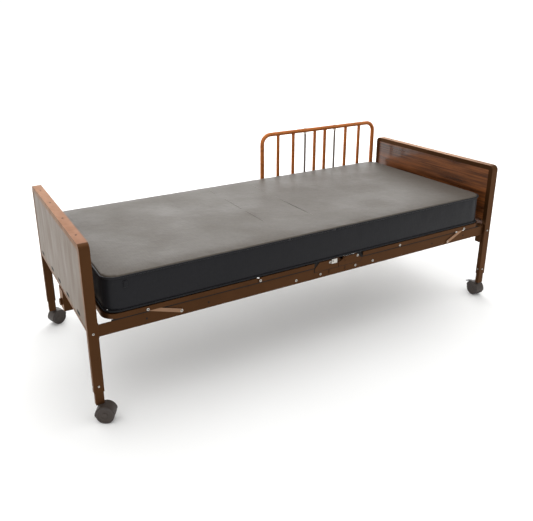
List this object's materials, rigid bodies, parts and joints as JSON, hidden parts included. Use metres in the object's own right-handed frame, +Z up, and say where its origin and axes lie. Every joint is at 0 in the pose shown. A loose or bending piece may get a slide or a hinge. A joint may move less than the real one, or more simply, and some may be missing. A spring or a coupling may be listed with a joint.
{
  "type": "adjustable homecare bed",
  "caption": "Adjustable homecare bed on casters with a folding deck, hi-lo bed ends, a mattress and one drop-down half side rail.",
  "frame": {"origin": "on the floor under the middle of the bed", "axes": "+X towards the head end, +Y towards the side with the half rail, +Z up"},
  "size_m": [2.2665, 1.0003, 0.8774],
  "materials": {
    "brown_enamel": "satin",
    "copper_enamel": "gloss",
    "pink_enamel": "satin",
    "beige_laminate": "satin",
    "walnut_laminate": "gloss",
    "zinc": "satin",
    "grey_steel": "satin",
    "black_plastic": "matte",
    "grey_plastic": "matte",
    "coated_fabric": "matte"
  },
  "bodies": {
    "bed_frame": {"control_box": "black_plastic", "foot_end_frame": "brown_enamel", "foot_far_side_rail": "brown_enamel", "foot_gearbox": "brown_enamel", "foot_near_side_rail": "brown_enamel", "foot_panel_inner": "walnut_laminate", "foot_panel_outer": "beige_laminate", "half_rail_bracket": "brown_enamel", "head_cross_member": "brown_enamel", "head_end_frame": "brown_enamel", "head_far_side_rail": "brown_enamel", "head_gearbox": "brown_enamel", "head_motor": "black_plastic", "head_near_side_rail": "brown_enamel", "head_panel_inner": "walnut_laminate", "head_panel_outer": "beige_laminate", "hilo_cross_member": "brown_enamel", "hilo_motor": "black_plastic", "knee_cross_member": "brown_enamel", "knee_motor": "black_plastic", "mattress_hip_fold": "coated_fabric", "mattress_seat": "coated_fabric", "mattress_thigh_fold": "coated_fabric", "seat_cross_member": "brown_enamel", "seat_deck": "brown_enamel"},
    "back_section": {"back_frame": "brown_enamel", "back_sheet": "zinc", "mattress_back": "coated_fabric"},
    "thigh_section": {"thigh_frame": "brown_enamel", "thigh_sheet": "zinc", "mattress_thigh": "coated_fabric"},
    "foot_section": {"foot_frame": "brown_enamel", "foot_sheet": "zinc", "mattress_foot": "coated_fabric"},
    "foot_link": {"foot_link": "pink_enamel"},
    "head_link": {"head_link": "pink_enamel"},
    "head_lift_arm": {"head_lift_arm": "zinc"},
    "knee_lift_arm": {"knee_lift_arm": "zinc"},
    "head_pull_rod": {"head_pull_rod": "zinc"},
    "knee_pull_rod": {"knee_pull_rod": "zinc"},
    "drive_shaft": {"drive_shaft": "zinc"},
    "foot_lift_screw": {"foot_lift_screw": "zinc"},
    "head_lift_screw": {"head_lift_screw": "zinc"},
    "foot_legs": {"foot_legs": "brown_enamel"},
    "head_legs": {"head_legs": "brown_enamel"},
    "half_rail": {"half_rail_frame": "copper_enamel", "half_rail_foot_post": "grey_steel", "half_rail_head_post": "grey_steel"},
    "half_rail_foot_knob": {"half_rail_foot_knob": "black_plastic"},
    "half_rail_head_knob": {"half_rail_head_knob": "black_plastic"},
    "foot_near_caster": {"foot_near_caster_hood": "grey_plastic"},
    "foot_near_caster_wheels": {"foot_near_caster_wheels": "black_plastic"},
    "foot_far_caster": {"foot_far_caster_hood": "grey_plastic"},
    "foot_far_caster_wheels": {"foot_far_caster_wheels": "black_plastic"},
    "head_near_caster": {"head_near_caster_hood": "grey_plastic"},
    "head_near_caster_wheels": {"head_near_caster_wheels": "black_plastic"},
    "head_near_caster_brake": {"head_near_caster_brake": "black_plastic"},
    "head_far_caster": {"head_far_caster_hood": "grey_plastic"},
    "head_far_caster_wheels": {"head_far_caster_wheels": "black_plastic"},
    "head_far_caster_brake": {"head_far_caster_brake": "black_plastic"}
  },
  "joints": [
    {"name": "foot_legs_slide", "type": "slide", "parent": "bed_frame", "child": "foot_legs", "axis": [0, 0, 1], "range_m": [-0.15, 0.039]},
    {"name": "head_legs_slide", "type": "slide", "parent": "bed_frame", "child": "head_legs", "axis": [0, 0, 1], "range_m": [-0.15, 0.039]},
    {"name": "foot_near_caster_swivel", "type": "hinge", "parent": "foot_legs", "child": "foot_near_caster", "pos_m": [-1.097, -0.4445, 0.081], "axis": [0, 0, 1], "continuous": true},
    {"name": "foot_near_caster_roll", "type": "hinge", "parent": "foot_near_caster", "child": "foot_near_caster_wheels", "pos_m": [-1.07795, -0.4555, 0.0375], "axis": [0.5, 0.866, 0], "continuous": true},
    {"name": "foot_far_caster_swivel", "type": "hinge", "parent": "foot_legs", "child": "foot_far_caster", "pos_m": [-1.097, 0.4445, 0.081], "axis": [0, 0, 1], "continuous": true},
    {"name": "foot_far_caster_roll", "type": "hinge", "parent": "foot_far_caster", "child": "foot_far_caster_wheels", "pos_m": [-1.07633, 0.45202, 0.0375], "axis": [-0.342, 0.9397, 0], "continuous": true},
    {"name": "head_near_caster_swivel", "type": "hinge", "parent": "head_legs", "child": "head_near_caster", "pos_m": [1.097, -0.4445, 0.081], "axis": [0, 0, 1], "continuous": true},
    {"name": "head_near_caster_roll", "type": "hinge", "parent": "head_near_caster", "child": "head_near_caster_wheels", "pos_m": [1.0993, -0.42262, 0.0375], "axis": [-0.9945, 0.1045, 0], "continuous": true},
    {"name": "head_near_caster_brake_tilt", "type": "hinge", "parent": "head_near_caster", "child": "head_near_caster_brake", "pos_m": [1.10299, -0.38751, 0.06508], "axis": [-0.9945, 0.1045, 0], "range_deg": [0, 15]},
    {"name": "head_far_caster_swivel", "type": "hinge", "parent": "head_legs", "child": "head_far_caster", "pos_m": [1.097, 0.4445, 0.081], "axis": [0, 0, 1], "continuous": true},
    {"name": "head_far_caster_roll", "type": "hinge", "parent": "head_far_caster", "child": "head_far_caster_wheels", "pos_m": [1.10269, 0.42325, 0.0375], "axis": [0.9659, 0.2588, 0], "continuous": true},
    {"name": "head_far_caster_brake_tilt", "type": "hinge", "parent": "head_far_caster", "child": "head_far_caster_brake", "pos_m": [1.11183, 0.38915, 0.06508], "axis": [0.9659, 0.2588, 0], "range_deg": [0, 15]},
    {"name": "back_hinge", "type": "hinge", "parent": "bed_frame", "child": "back_section", "pos_m": [0.19, 0, 0.4465], "axis": [0, -1, 0], "range_deg": [0, 65], "deforming": ["mattress_hip_fold"]},
    {"name": "head_lift", "type": "hinge", "parent": "bed_frame", "child": "head_lift_arm", "pos_m": [0.289, 0, 0.393], "axis": [0, -1, 0], "range_deg": [0, 74.2]},
    {"name": "head_pull", "type": "slide", "parent": "bed_frame", "child": "head_pull_rod", "axis": [1, 0, 0], "range_m": [0, 0.1026]},
    {"name": "thigh_hinge", "type": "hinge", "parent": "bed_frame", "child": "thigh_section", "pos_m": [0.026, 0, 0.4465], "axis": [0, 1, 0], "range_deg": [0, 35], "deforming": ["mattress_thigh_fold"]},
    {"name": "knee_hinge", "type": "hinge", "parent": "thigh_section", "child": "foot_section", "pos_m": [-0.355, 0, 0.443], "axis": [0, -1, 0], "range_deg": [0, 49]},
    {"name": "foot_link_hinge", "type": "hinge", "parent": "bed_frame", "child": "foot_link", "pos_m": [-0.729, 0, 0.397], "axis": [0, 1, 0], "range_deg": [0, 48.6]},
    {"name": "knee_lift", "type": "hinge", "parent": "bed_frame", "child": "knee_lift_arm", "pos_m": [-0.162, 0, 0.393], "axis": [0, 1, 0], "range_deg": [0, 79.6]},
    {"name": "knee_pull", "type": "slide", "parent": "bed_frame", "child": "knee_pull_rod", "axis": [-1, 0, 0], "range_m": [0, 0.109]},
    {"name": "head_link_hinge", "type": "hinge", "parent": "back_section", "child": "head_link", "pos_m": [0.913, 0, 0.443], "axis": [0, 1, 0], "range_deg": [0, 24]},
    {"name": "drive_shaft_spin", "type": "hinge", "parent": "bed_frame", "child": "drive_shaft", "pos_m": [0, 0, 0.3387], "axis": [1, 0, 0], "continuous": true},
    {"name": "foot_screw_spin", "type": "hinge", "parent": "bed_frame", "child": "foot_lift_screw", "pos_m": [-1.097, 0, 0.5], "axis": [0, 0, 1], "continuous": true},
    {"name": "head_screw_spin", "type": "hinge", "parent": "bed_frame", "child": "head_lift_screw", "pos_m": [1.097, 0, 0.5], "axis": [0, 0, 1], "continuous": true},
    {"name": "half_rail_drop", "type": "slide", "parent": "bed_frame", "child": "half_rail", "axis": [0, 0, -1], "range_m": [0, 0.22]},
    {"name": "half_rail_foot_knob_pull", "type": "slide", "parent": "bed_frame", "child": "half_rail_foot_knob", "axis": [0, 1, 0], "range_m": [0, 0.008], "stiffness_N_per_m": 400, "springref_m": -0.004},
    {"name": "half_rail_head_knob_pull", "type": "slide", "parent": "bed_frame", "child": "half_rail_head_knob", "axis": [0, 1, 0], "range_m": [0, 0.008], "stiffness_N_per_m": 400, "springref_m": -0.004}
  ],
  "couplings": [
    {"joint": "head_legs_slide", "follows": "foot_legs_slide", "ratio": 1},
    {"joint": "head_lift", "follows": "back_hinge", "ratio": 1.14},
    {"joint": "head_pull", "follows": "back_hinge", "m_per_rad": 0.0903},
    {"joint": "knee_hinge", "follows": "thigh_hinge", "ratio": 1.395},
    {"joint": "foot_link_hinge", "follows": "thigh_hinge", "ratio": 1.385},
    {"joint": "knee_lift", "follows": "thigh_hinge", "ratio": 2.27},
    {"joint": "knee_pull", "follows": "thigh_hinge", "m_per_rad": 0.1778},
    {"joint": "foot_screw_spin", "follows": "drive_shaft_spin", "ratio": 1},
    {"joint": "head_screw_spin", "follows": "drive_shaft_spin", "ratio": 1}
  ]
}
